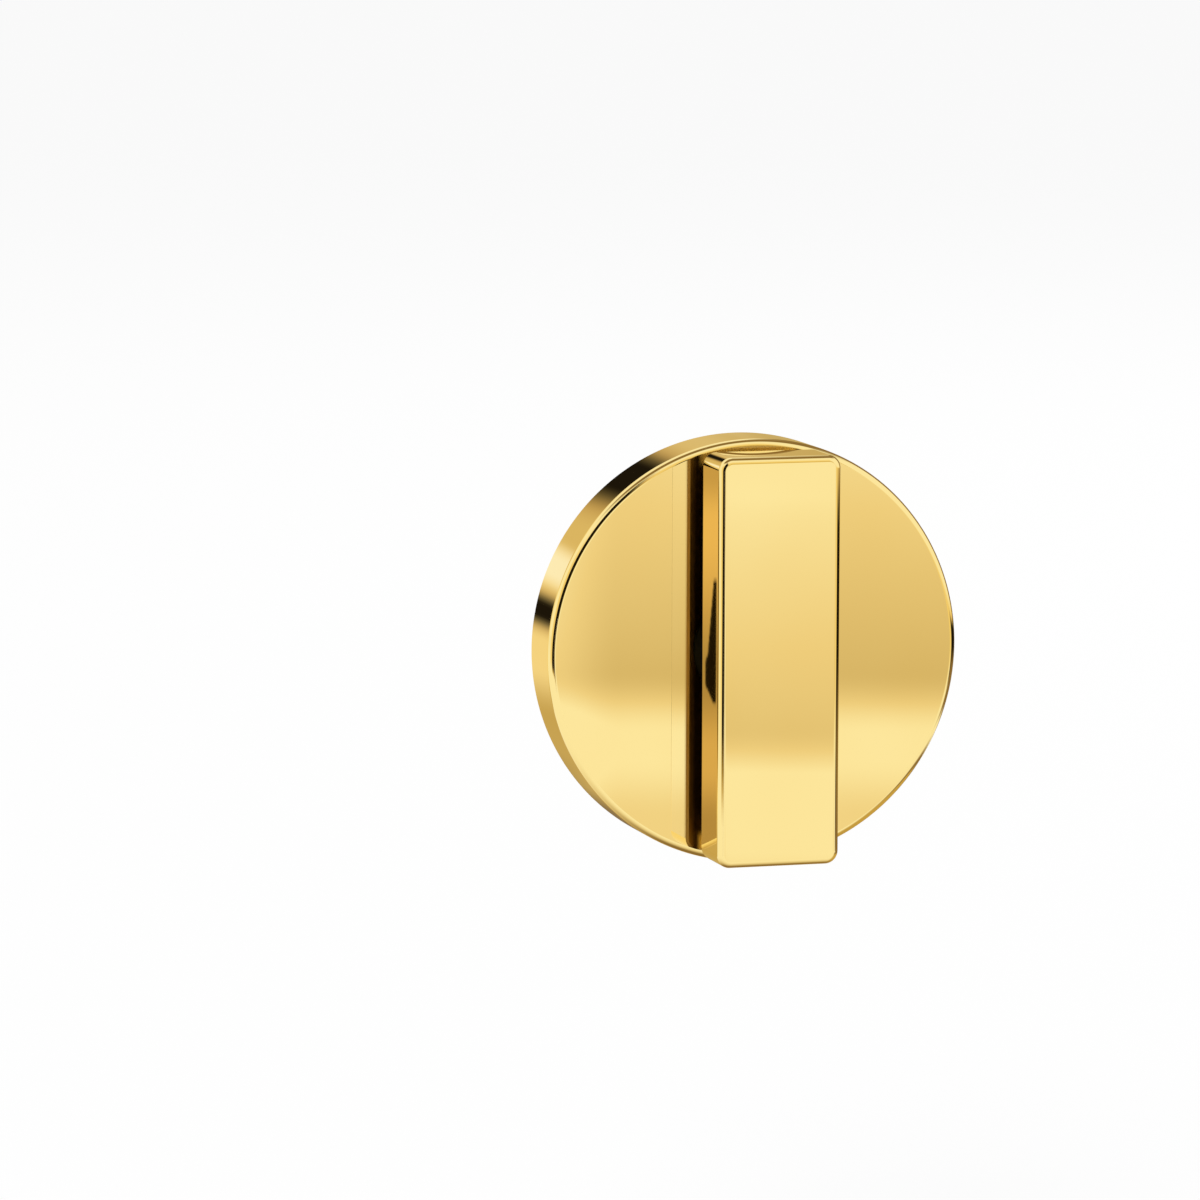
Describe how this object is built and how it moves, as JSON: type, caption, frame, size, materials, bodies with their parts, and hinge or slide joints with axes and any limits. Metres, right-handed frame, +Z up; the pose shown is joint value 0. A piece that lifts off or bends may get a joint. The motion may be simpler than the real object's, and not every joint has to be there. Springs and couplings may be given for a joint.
{
  "type": "bathroom thumb turn",
  "caption": "Round rose with a flat turn bar across it, fixed to a bathroom door from behind; the bar turns a square spindle to lock and unlock the door.",
  "frame": {"origin": "centre of the rose's back, on the door's surface and the spindle's axis", "axes": "+Z up along the bar at rest, +Y into the door along the spindle, so the bar faces -Y"},
  "size_m": [0.052, 0.0783, 0.052],
  "materials": {
    "polished_gold": "mirror-polished brass with a pale gold vapour coating",
    "nylon": "moulded black nylon",
    "bright_steel": "bright pressed steel",
    "spring_steel": "phosphated spring steel",
    "cast_zinc": "bare zinc casting",
    "plated_steel": "bright zinc plating",
    "black_steel": "black oxide"
  },
  "bodies": {
    "rose": {"rose_cover": "polished_gold", "fixing_plate": "cast_zinc", "neck_bush": "nylon", "flat_washer": "bright_steel", "fixing_screws": "plated_steel", "cover_set_screw": "black_steel"},
    "turn": {"thumb_turn": "polished_gold", "disc_spring": "spring_steel", "stop_plate": "bright_steel", "circlip": "spring_steel", "spindle": "plated_steel", "spindle_grub_screw": "black_steel"}
  },
  "joints": [
    {"name": "quarter_turn", "type": "hinge", "parent": "rose", "child": "turn", "pos_m": [0, 0, 0], "axis": [0, 1, 0], "range_deg": [0, 90]}
  ]
}
